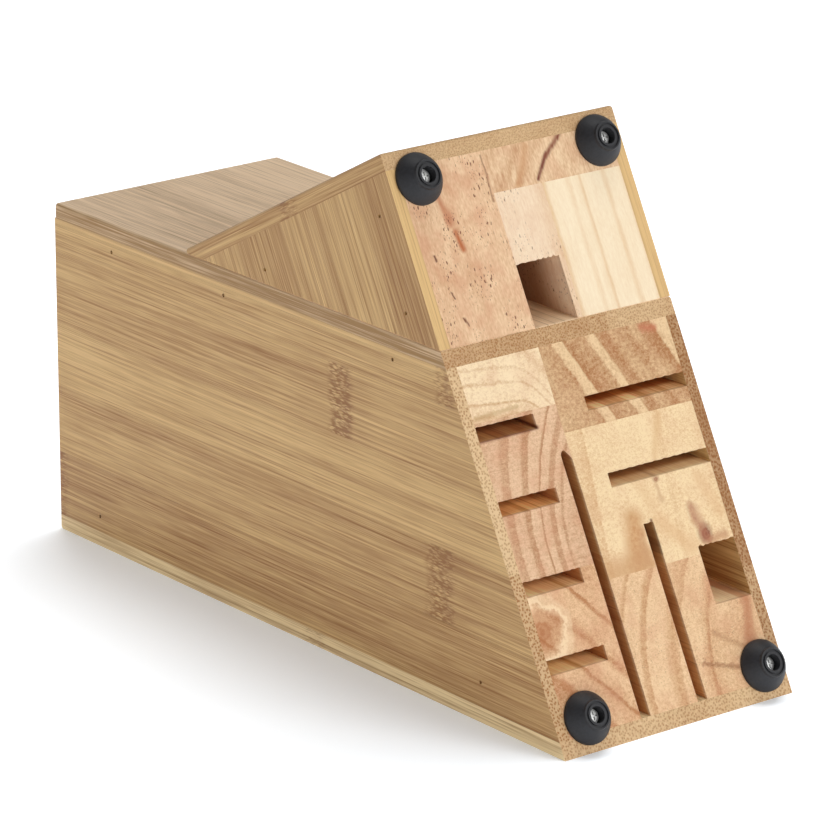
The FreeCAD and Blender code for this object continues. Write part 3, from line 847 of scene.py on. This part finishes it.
@dataclass
class MainBlock:
    """The straight part of the block: four bamboo panels round seven staves."""

    # the light band from 117.2 to 118.4 mm, just under the seam with the front panel, is partly a
    # lighter worn edge of the bamboo and partly a painted highlight along that edge
    side_strips: Stops = (
        (5.5, 0.42), (16.0, 0.46), (21.0, 0.40), (29.6, 0.44), (29.9, 0.30), (30.2, 0.58),
        (48.8, 0.56), (49.4, 0.42), (55.3, 0.38), (55.7, 0.62), (66.0, 0.74), (77.0, 0.78),
        (79.6, 0.56), (80.4, 0.48), (84.0, 0.58), (105.6, 0.54), (106.0, 0.44), (106.4, 0.58),
        (116.6, 0.62), (117.2, 0.86), (118.4, 0.8), (118.9, 0.5),
    )

    def dress(self) -> None:
        """Finishes the panels and the staves."""
        self.dress_panels()
        self.dress_left_staves()
        self.dress_right_staves()

    def dress_panels(self) -> None:
        """Finishes the bamboo panels."""
        left_ends = (
            (5.5, 0.4), (29.8, 0.42), (30.2, 0.32), (55.6, 0.42), (56.0, 0.78), (80.0, 0.84),
            (80.6, 0.8), (105.8, 0.72), (106.2, 0.7), (118.9, 0.66),
        )
        dress("main_side_left", Bamboo(
            Grain.ALONG_BLOCK, self.side_strips, left_ends, dots=0.62,
            knuckles=(
                Knuckle(25.0, 80.7, 106.0, spread=7.0), Knuckle(80.0, 30.0, 56.0, 0.8, 7.5),
                Knuckle(81.0, 106.0, 118.9, 0.7, 5.0), Knuckle(-150.0, 5.5, 30.0, spread=11.0),
            ),
        ))
        dress("main_side_right", Bamboo(
            Grain.ALONG_BLOCK, self.side_strips,
            ((5.5, 0.3), (40.0, 0.34), (41.0, 0.1), (80.0, 0.04), (118.9, 0.14)),
            seed=41.0, dots=0.45, end_dark=tint(148, 92, 34),
            knuckles=(
                Knuckle(-62.0, 56.1, 80.6, 0.9), Knuckle(40.0, 30.0, 56.0, 0.9),
                Knuckle(-20.0, 106.0, 118.9, 0.6), Knuckle(96.0, 5.5, 30.0, 0.8),
            ),
        ))
        # the front panel's pale, pinkish face colour is partly the bamboo's own tone and partly a
        # painted sheen, the whitening its top shows when seen at a grazing angle
        dress("main_front_panel", Bamboo(
            Grain.ALONG_BLOCK,
            ((-50.0, 0.84), (-25.0, 0.8), (-19.0, 0.6), (-13.0, 0.62), (-10.0, 0.82),
             (5.0, 0.86), (24.0, 0.8), (25.0, 0.94), (50.0, 0.92)),
            ((-50.0, 0.32), (20.0, 0.34), (21.0, 0.62), (50.0, 0.58)),
            strips_on_y=True, seed=11.0, dots=0.4, dot_size=0.8, edge=-0.62,
            face_dark=tint(158, 118, 66), face_light=tint(253, 220, 180), plies=(120.6, 122.4),
        ))
        dress("main_back_panel", Bamboo(
            Grain.ALONG_BLOCK,
            ((-50.0, 0.72), (-25.0, 0.7), (-0.2, 0.75), (0.0, 0.62), (25.0, 0.66), (25.2, 0.74),
             (50.0, 0.7)),
            ((-50.0, 0.6), (0.5, 0.66), (2.5, 0.5), (26.0, 0.7), (50.0, 0.58)),
            strips_on_y=True, seed=23.0, dots=0.45, edge=0.1,
            face_light=tint(246, 218, 166), plies=(1.6,),
            knuckles=(Knuckle(10.0, -50.1, -25.0, 0.5), Knuckle(-70.0, 0.0, 25.0, 0.8)),
        ))

    def dress_left_staves(self) -> None:
        """Finishes the three staves behind the narrow slots."""
        dress("core_left_front", Rubberwood(
            tint(248, 222, 182), tint(204, 158, 110),
            ((114.0, 0.6), (116.4, 0.3), (117.6, 0.7), (119.8, 0.8), (120.8, 0.3), (121.6, 0.85),
             (126.4, 0.95), (127.6, 0.5), (128.8, 0.9), (131.6, 0.9), (132.8, 0.6), (134.0, 0.9),
             (142.0, 0.6), (146.0, 0.8), (160.0, 0.7)),
            run=draped, waver=0.6, grain=1.2, grit=0.9, mottle=0.5, blush=0.25,
            seed=3.0,
            streaks=(Streak((-44.0, 116.4), (-26.0, 117.2), 1.4, tint(186, 150, 98), 0.5, 0.5),),
        ))
        dress("core_left_middle", Rubberwood(
            tint(233, 195, 157), tint(184, 132, 90),
            ((-50.0, 0.6), (-46.0, 0.75), (-44.2, 0.35), (-42.4, 0.25), (-41.8, 0.75),
             (-38.4, 0.7), (-37.4, 0.2), (-35.8, 0.2), (-35.2, 0.85), (-31.9, 0.8),
             (-31.1, 0.0), (-30.6, 0.85), (-28.4, 0.75), (-27.4, 0.25), (-26.0, 0.3),
             (-25.4, 0.85), (-23.6, 0.7), (-22.8, 0.25), (-21.6, 0.7), (-17.0, 0.55),
             (-12.0, 0.6)),
            run=fanned, waver=0.35, grain=1.2, grit=1.0, rays=0.7, mottle=0.35, blush=0.4,
            # the bed tint here is painted light on the floors and ceilings of the narrow slots;
            # the dark reddish streak under it darkens the floor of the slot at 108.8 mm up the
            # base
            seed=8.0, painted_bed_shading=(1.4, 1.33, 0.9, 1.0),
            streaks=(Streak((-45.5, 108.8), (-20.8, 108.8), 1.3, tint(120, 60, 35), 1.0, 0.1),),
        ))
        dress("core_left_back", Rubberwood(
            tint(236, 196, 152), tint(184, 124, 76),
            ((-24.0, 0.4), (-16.5, 0.15), (-13.5, 0.7), (-8.5, 0.7), (-6.6, 0.05), (-5.6, 0.65),
             (0.5, 0.8), (3.0, 0.2), (5.0, 0.6), (8.0, 0.85), (11.5, 0.8), (13.3, 0.1),
             (14.2, 0.7), (24.0, 0.6)),
            run=crossing, waver=0.8, grain=1.3, grit=1.0, mottle=0.6, blush=0.45, seed=14.0,
            # the bed tint here is painted light on the floors and ceilings of the narrow slots
            painted_bed_shading=(1.35, 1.5, 1.35, 1.0),
            knots=(Knot((-43.4, 42.4), (6.8, 7.6), tint(176, 108, 60), strength=0.9,
                        halo_strength=0.9, push=2.0),),
            streaks=(Streak((-41.0, 25.0), (-38.5, 19.0), 2.4, tint(190, 122, 74), 0.6),),
        ))

    def dress_right_staves(self) -> None:
        """Finishes the four staves behind the wide slots and the steel's hole."""
        dress("core_right_front", Rubberwood(
            tint(235, 202, 156), tint(172, 115, 66),
            ((-20.0, 0.55), (-6.0, 0.52), (-1.0, 0.44), (1.9, 0.3), (3.2, 0.85), (6.8, 0.92),
             (7.6, 0.15), (12.0, 0.3), (16.4, 0.3), (17.8, 0.8), (20.4, 0.9), (21.6, 0.3),
             (25.0, 0.15), (28.0, 0.45), (31.0, 0.4), (33.5, 0.25), (37.0, 0.5), (41.0, 0.3),
             (45.0, 0.12), (46.2, 0.85), (50.0, 0.9)),
            run=leaning(0.43, 117.0), waver=0.7, grain=1.3, grit=0.7, mottle=0.6, blush=0.12,
            # the bed tint here is painted light on the floors and ceilings of the channels, and
            # the deep tint is dark painted shade from 3.5 to 7.5 mm in
            seed=19.0, painted_bed_shading=(1.65, 1.75, 1.65, 1.0), painted_deep_shading=(0.45, 0.22, 0.09, 1.0),
            painted_deep_shading_depths=(3.5, 7.5),
            streaks=(Streak((34.0, 133.0), (39.0, 132.0), 2.6, tint(196, 112, 78), 0.7),),
        ))
        dress("core_right_middle", Rubberwood(
            tint(245, 217, 171), tint(208, 158, 108),
            ((-12.0, 0.6), (-9.0, 0.66), (-6.5, 0.5), (-5.0, 0.4), (-4.2, 0.8), (2.0, 0.9),
             (12.0, 0.9), (18.0, 0.8), (20.5, 0.88), (25.0, 0.85), (27.0, 0.6), (30.0, 0.8),
             (33.0, 0.85), (40.0, 0.8), (46.0, 0.7), (60.0, 0.6)),
            run=leaning(-0.1, 90.0), waver=0.9, grain=1.3, grit=1.0, mottle=0.7, blush=0.15,
            # the bed tint here is painted light on the floors and ceilings of the channels, and
            # the deep tint is painted shade from 3.5 to 7.5 mm in
            seed=27.0, painted_bed_shading=(1.12, 1.1, 1.05, 1.0), painted_deep_shading=(0.5, 0.34, 0.23, 1.0),
            painted_deep_shading_depths=(3.5, 7.5),
            knots=(
                Knot((20.8, 82.4), (1.5, 1.1), tint(150, 84, 50), strength=0.9, push=2.0),
                Knot((34.5, 59.5), (3.2, 3.6), tint(120, 56, 38)),
            ),
            streaks=(
                Streak((6.5, 71.0), (3.0, 55.0), 7.0, tint(202, 148, 96), 0.9),
                Streak((8.5, 66.0), (7.0, 55.0), 3.0, tint(190, 132, 84), 0.6),
                Streak((-8.0, 55.0), (8.0, 57.0), 8.0, tint(204, 154, 106), 0.75),
                Streak((13.8, 57.0), (13.8, 69.0), 1.0, tint(110, 70, 45), 1.0, 0.2),
                Streak((20.0, 80.0), (20.5, 75.0), 2.0, tint(196, 146, 102), 0.5),
                Streak((16.0, 74.0), (12.0, 84.0), 4.0, tint(222, 178, 128), 0.4),
                Streak((17.0, 68.0), (27.0, 57.0), 5.0, tint(220, 172, 122), 0.5),
                Streak((31.5, 70.0), (34.0, 58.0), 3.4, tint(170, 102, 72), 0.7),
                Streak((36.0, 57.5), (42.0, 58.0), 3.0, tint(180, 116, 78), 0.6),
                Streak((29.5, 103.0), (23.0, 89.0), 2.6, tint(218, 172, 120), 0.5),
                Streak((38.0, 80.0), (43.0, 66.0), 4.0, tint(222, 176, 126), 0.4),
            ),
        ))
        dress("core_right_back_inner", Rubberwood(
            tint(240, 204, 160), tint(196, 144, 96),
            ((-30.0, 0.6), (-20.5, 0.7), (-18.0, 0.25), (-17.0, 0.75), (-11.0, 0.8),
             (-9.0, 0.3), (-7.6, 0.2), (-6.8, 0.8), (0.0, 0.85), (2.8, 0.5), (4.6, 0.25),
             (6.4, 0.45), (7.2, 0.8), (12.5, 0.7)),
            run=bowed, waver=0.6, grain=1.2, grit=1.0, mottle=0.4, blush=0.3, pores=0.3,
            seed=33.0,
        ))
        dress("core_right_back_outer", Rubberwood(
            tint(239, 203, 158), tint(194, 140, 94),
            ((0.0, 0.7), (5.0, 0.5), (8.0, 0.35), (9.0, 0.8), (16.0, 0.85), (18.4, 0.6),
             (20.4, 0.15), (21.4, 0.6), (26.0, 0.7), (30.0, 0.6), (36.0, 0.5), (40.0, 0.65),
             (50.0, 0.6)),
            run=bowed, waver=0.9, grain=1.2, grit=1.1, mottle=0.5, blush=0.35, seed=38.0,
            # the wall tint here is painted shade on the sides of the channels, the bed tint
            # painted light on their floors and ceilings, and the deep tint painted light further
            # in
            pores=0.35, walls=tint(248, 220, 184), painted_bed_shading=(1.3, 1.5, 1.55, 1.0),
            painted_deep_shading=(1.2, 1.25, 1.3, 1.0),
            streaks=(
                Streak((17.5, 18.0), (31.0, 13.5), 1.3, tint(150, 96, 56), 0.7),
                Streak((43.0, 35.0), (39.0, 20.0), 4.2, tint(184, 116, 76), 0.8, 1.6),
                Streak((25.0, 27.0), (37.0, 19.0), 1.8, tint(176, 122, 80), 0.5),
            ),
        ))


@dataclass
class Wedge:
    """The wedge that makes the base stand square, on top of the main block."""

    side_strips: Stops = (
        (0.0, 0.34), (9.0, 0.30), (16.0, 0.38), (18.2, 0.36), (19.2, 0.58), (30.0, 0.6),
        (43.0, 0.62), (43.5, 0.2), (44.6, 0.36), (48.0, 0.5), (49.0, 0.64), (51.0, 0.5),
        (52.0, 0.48), (55.0, 0.62), (58.0, 0.6), (61.0, 0.46), (66.0, 0.58), (67.2, 0.2),
        (69.0, 0.34), (80.0, 0.46), (90.0, 0.38), (93.4, 0.42), (94.0, 0.66), (108.0, 0.6),
        (118.0, 0.56),
    )

    def dress(self) -> None:
        """Finishes the panels and the staves."""
        for side, seed in (("left", 5.0), ("right", 61.0)):
            board = Bamboo(Grain.ALONG_BASE, self.side_strips, seed=seed, edge=0.6)
            dress(f"wedge_side_{side}", board)
        dress("wedge_front_panel", Bamboo(
            Grain.INTO_BASE,
            ((-50.0, 0.55), (-25.1, 0.6), (-24.9, 0.5), (-0.1, 0.55), (0.1, 0.62), (24.9, 0.6),
             (25.1, 0.5), (50.0, 0.55)),
            ((-50.0, 0.6), (-12.0, 0.56), (0.0, 0.62), (50.0, 0.55)),
            strips_on_y=True, seed=71.0, dots=0.3, dot_size=0.7, edge=-0.08,
            plies=(203.6, 204.9, 206.6, 208.0),
            knuckles=(Knuckle(60.0, -50.1, -25.0, 0.8), Knuckle(88.0, 0.1, 25.0, 0.8)),
        ))
        dress("wedge_core_left", Rubberwood(
            tint(240, 204, 164), tint(206, 158, 116),
            ((-50.0, 0.6), (-40.0, 0.5), (-34.0, 0.7), (-28.0, 0.5), (-22.0, 0.75), (-9.0, 0.7)),
            on_base=True, waver=1.2, grain=1.2, grit=1.2, pores=1.0, mottle=0.5, blush=0.5,
            seed=44.0, pore_colour=tint(118, 64, 38),
            streaks=(
                Streak((-33.0, 192.0), (-30.5, 182.0), 3.0, tint(182, 104, 60), 0.7),
                Streak((-29.6, 178.5), (-28.4, 172.5), 2.0, tint(184, 104, 58), 1.0, 0.4),
                Streak((-38.5, 159.0), (-38.0, 157.0), 0.6, tint(104, 56, 32), 1.0, 0.8),
                Streak((-41.3, 172.5), (-40.8, 170.5), 0.6, tint(112, 62, 38), 0.9, 0.8),
                Streak((-36.6, 150.0), (-35.8, 147.0), 0.6, tint(124, 72, 44), 0.9, 0.8),
                Streak((-10.4, 202.0), (-10.2, 186.0), 0.7, tint(136, 86, 50), 0.7, 0.6),
            ),
        ))
        dress("wedge_core_cap", Rubberwood(
            tint(243, 211, 170), tint(196, 145, 102),
            ((-30.0, 0.5), (-16.0, 0.5), (-10.0, 0.7), (-4.0, 0.4), (0.0, 0.75), (3.5, 0.45),
             (7.0, 0.8), (10.0, 0.6), (14.0, 0.7), (20.0, 0.55), (40.0, 0.65)),
            run=leaning(-0.85, 190.0), on_base=True, waver=1.2, grain=1.3, grit=1.1, mottle=0.6,
            blush=0.3, seed=49.0,
            streaks=(
                Streak((10.5, 190.0), (16.5, 198.0), 1.2, tint(120, 58, 40), 1.0, 0.3),
                Streak((16.0, 197.0), (24.5, 203.5), 1.6, tint(130, 66, 42), 0.9, 0.4),
                Streak((2.0, 190.0), (9.0, 202.0), 2.4, tint(196, 136, 86), 0.6, 0.6),
            ),
        ))
        dress("wedge_core_middle", Rubberwood(
            tint(247, 222, 191), tint(222, 180, 138),
            ((-10.0, 0.8), (-2.0, 0.85), (6.0, 0.75), (9.0, 0.55), (12.0, 0.4)),
            on_base=True, waver=0.8, grain=0.8, grit=0.7, pores=0.6, mottle=0.3, blush=0.15,
            # the wall tint here is painted light on the sides of its channel
            seed=53.0, walls=(1.15, 1.2, 1.25, 1.0),
        ))
        dress("wedge_core_right", Rubberwood(
            tint(250, 230, 197), tint(222, 180, 130),
            ((10.0, 0.3), (12.0, 0.35), (13.4, 0.85), (20.0, 0.92), (22.3, 0.65), (24.0, 0.9),
             (26.2, 0.8), (27.6, 0.4), (28.6, 0.9), (36.0, 0.88), (38.0, 0.5), (39.6, 0.9),
             (44.0, 0.88), (46.0, 0.5)),
            on_base=True, waver=0.35, grain=0.5, grit=0.35, mottle=0.25, seed=57.0,
        ))


@dataclass
class Fittings:
    """The rubber feet with their screws and washers, and the sunk pins."""

    corners: tuple[str, ...] = ("front_left", "front_right", "back_left", "back_right")
    pin_groups: tuple[str, ...] = (
        "block_pins_left", "block_pins_right", "wedge_pins_left", "wedge_pins_right",
    )
    rubber: Plain = Plain(tint(33, 33, 36), tint(42, 42, 46), 0.55, {"Specular IOR Level": 0.4})
    steel: Plain = Plain(tint(215, 215, 212), tint(196, 196, 196), 0.5, {"Metallic": 1.0}, 0.6)
    pin: Plain = Plain(tint(70, 62, 54), tint(40, 34, 30), 0.5, {"Metallic": 0.6})

    def dress(self) -> None:
        """Finishes the feet, their metal and the pins."""
        for corner in self.corners:
            dress(f"foot_{corner}", self.rubber)
            dress(f"foot_washer_{corner}", self.steel)
            dress(f"foot_screw_{corner}", self.steel)
        for pins in self.pin_groups:
            dress(pins, self.pin)


@dataclass(frozen=True)
class SoftBox:
    """A square light that faces the block, with its place and width in metres, and its watts."""

    name: str
    spot: Direction
    size: float
    power: float

    def hang(self) -> bpy.types.Object:
        """Hangs the light.

        Returns:
            The light.
        """
        lamp = bpy.data.lights.new(self.name, "AREA")
        lamp.size, lamp.energy = self.size, self.power
        holder = bpy.data.objects.new(self.name, lamp)
        holder.location = self.spot
        holder.rotation_euler = (-Vector(self.spot)).to_track_quat("-Z", "Y").to_euler()
        bpy.context.scene.collection.objects.link(holder)
        return holder


@dataclass
class Studio:
    """A plain pale floor, soft lights and the camera, in metres and radians.

    The walls of the room are bright up to the first height and its ceiling is dim from the
    second, and each height is the z of a direction one unit long.
    """

    azimuth: float = math.radians(51.81)
    elevation: float = math.radians(18.43)
    spot: Direction = (1.3999, -1.0998, 0.6647)
    lens: float = 233.09
    sensor: float = 36.0
    sight: float = 60.0
    lights: tuple[SoftBox, ...] = (
        SoftBox("key", (2.0, 0.7, 1.0), 1.4, 20.0), SoftBox("top", (-0.4, 0.5, 2.2), 1.4, 18.0),
    )
    floor_wash: SoftBox = SoftBox("floor_wash", (-0.5, 0.6, 1.8), 1.6, 30.0)
    floor_radius: float = 1.6
    floor_colours: tuple[Colour, Colour] = ((0.85, 0.89, 0.93, 1.0), (0.87, 0.91, 0.95, 1.0))
    floor_glow: float = 0.24
    wall_heights: Point = (0.28, 0.5)
    wall_light: float = 1.0
    ceiling_light: float = 0.06

    def build(self) -> None:
        """Sets out the floor, the lights and the camera."""
        floor = self.lay_floor()
        self.light_world()
        for light in self.lights:
            light.hang()
        lit = bpy.data.collections.new("floor_only")
        lit.objects.link(floor)
        self.floor_wash.hang().light_linking.receiver_collection = lit
        self.place_camera()
        bpy.context.scene.view_settings.view_transform = "Standard"

    def lay_floor(self) -> bpy.types.Object:
        """Lays a round pale floor under the block, which glows a little like a light table.

        Returns:
            The floor.
        """
        bpy.ops.mesh.primitive_circle_add(
            vertices=96, radius=self.floor_radius, fill_type="NGON"
        )
        floor = bpy.context.object
        floor.name = "floor"
        r = Recipe("floor_finish")
        tone = r.noise(r.x * 0.002, r.y * 0.002, 0.0)
        gloss = {
            "Specular IOR Level": 0.0, "Emission Color": (1.0, 1.0, 1.0, 1.0),
            "Emission Strength": self.floor_glow,
        }
        floor.data.materials.append(r.finish(r.blend(tone, *self.floor_colours), gloss, 0.9))
        return floor

    def light_world(self) -> None:
        """Rings the room with bright walls under a dark ceiling."""
        world = bpy.data.worlds.new("room")
        bpy.context.scene.world = world
        world.use_nodes = True
        tree = world.node_tree
        room = tree.nodes["Background"]
        room.inputs["Color"].default_value = (1.0, 1.0, 1.0, 1.0)
        way = tree.nodes.new("ShaderNodeTexCoord")
        parts = tree.nodes.new("ShaderNodeSeparateXYZ")
        fall = tree.nodes.new("ShaderNodeMapRange")
        fall.interpolation_type = "SMOOTHSTEP"
        ranges = (*self.wall_heights, self.wall_light, self.ceiling_light)
        for socket, value in zip(list(fall.inputs)[1:5], ranges):
            socket.default_value = value
        tree.links.new(way.outputs["Generated"], parts.inputs[0])
        tree.links.new(parts.outputs["Z"], fall.inputs[0])
        tree.links.new(fall.outputs[0], room.inputs["Strength"])

    def place_camera(self) -> None:
        """Places the camera."""
        lens = bpy.data.cameras.new("camera")
        lens.lens, lens.sensor_width, lens.clip_end = self.lens, self.sensor, self.sight
        camera = bpy.data.objects.new("camera", lens)
        camera.location = self.spot
        camera.rotation_euler = (math.pi / 2.0 - self.elevation, 0.0, self.azimuth)
        bpy.context.scene.collection.objects.link(camera)
        bpy.context.scene.camera = camera


def main() -> None:
    """Builds every sub-assembly in order."""
    logging.basicConfig(level=logging.INFO, format="%(message)s")
    for part in (MainBlock(), Wedge(), Fittings()):
        part.dress()
    Studio().build()


if __name__ == "__main__":
    main()
